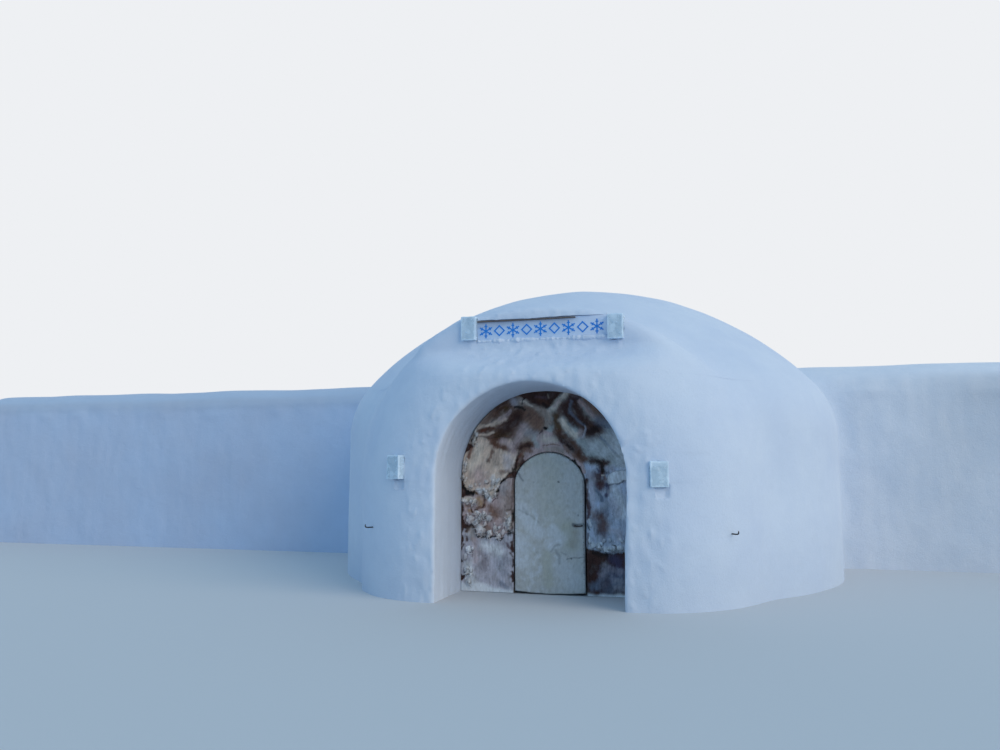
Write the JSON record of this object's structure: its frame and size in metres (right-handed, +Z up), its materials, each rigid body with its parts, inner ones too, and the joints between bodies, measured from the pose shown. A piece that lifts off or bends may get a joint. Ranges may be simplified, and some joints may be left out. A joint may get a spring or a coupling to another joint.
{
  "type": "snow igloo with arched portal and side walls",
  "caption": "Hollow round snow igloo with a deep arched portal, a hide-covered entrance wall with a hinged arched door, ice blocks, a signboard and long snow side walls.",
  "frame": {"origin": "on the ground, in the middle of the footprint: between the portal's front and the dome's rear, halfway between the side walls' ends", "axes": "+Z up, -Y towards the portal's front, +X to the right of someone who faces the portal"},
  "size_m": [30.21, 8.8972, 4.96],
  "materials": {
    "dome_snow": "matt packed snow with faint lift joints and tool marks",
    "side_wall_snow": "matt packed snow with rough scraped faces",
    "clear_ice": "natural lake ice with fine bubbles and frosted faces",
    "sign_face": null,
    "hide_fur": "mottled brown and cream reindeer hides, frosted",
    "door_hide": "pale grey rawhide stretched over the door leaf, frosted",
    "entrance_timber": "rough sawn softwood boards",
    "dark_iron": "dark blacksmith's iron",
    "pull_cord": "dark greased leather"
  },
  "bodies": {
    "igloo": {"wall_right_front": "dome_snow", "wall_right_side": "dome_snow", "wall_right_rear": "dome_snow", "wall_left_rear": "dome_snow", "wall_left_side": "dome_snow", "wall_left_front": "dome_snow", "vault_right_front": "dome_snow", "vault_right_side": "dome_snow", "vault_right_rear": "dome_snow", "vault_left_rear": "dome_snow", "vault_left_side": "dome_snow", "vault_left_front": "dome_snow", "crown_block": "dome_snow", "sign_brow": "dome_snow", "portal_left_jamb": "dome_snow", "portal_right_jamb": "dome_snow", "portal_left_haunch": "dome_snow", "portal_right_haunch": "dome_snow", "sign_board": "sign_face", "sign_left_ice": "clear_ice", "sign_right_ice": "clear_ice", "left_ice_lantern": "clear_ice", "right_ice_lantern": "clear_ice", "left_rope_peg": "dark_iron", "right_rope_peg": "dark_iron", "entrance_left_boards": "entrance_timber", "entrance_right_boards": "entrance_timber", "entrance_head_boards": "entrance_timber", "entrance_left_hides": "hide_fur", "entrance_right_hides": "hide_fur", "entrance_head_hides": "hide_fur", "hinge_pins": "dark_iron", "left_wall_bay_1": "side_wall_snow", "left_wall_bay_2": "side_wall_snow", "left_wall_bay_3": "side_wall_snow", "right_wall_bay_1": "side_wall_snow", "right_wall_bay_2": "side_wall_snow", "right_wall_bay_3": "side_wall_snow"},
    "door": {"door_leaf": "door_hide", "door_hinge_straps": "dark_iron", "door_pull": "pull_cord"}
  },
  "joints": [
    {"name": "door_hinge", "type": "hinge", "parent": "igloo", "child": "door", "pos_m": [-0.474, -3.1905, 0.35], "axis": [0, 0, 1], "range_deg": [0, 100]}
  ]
}
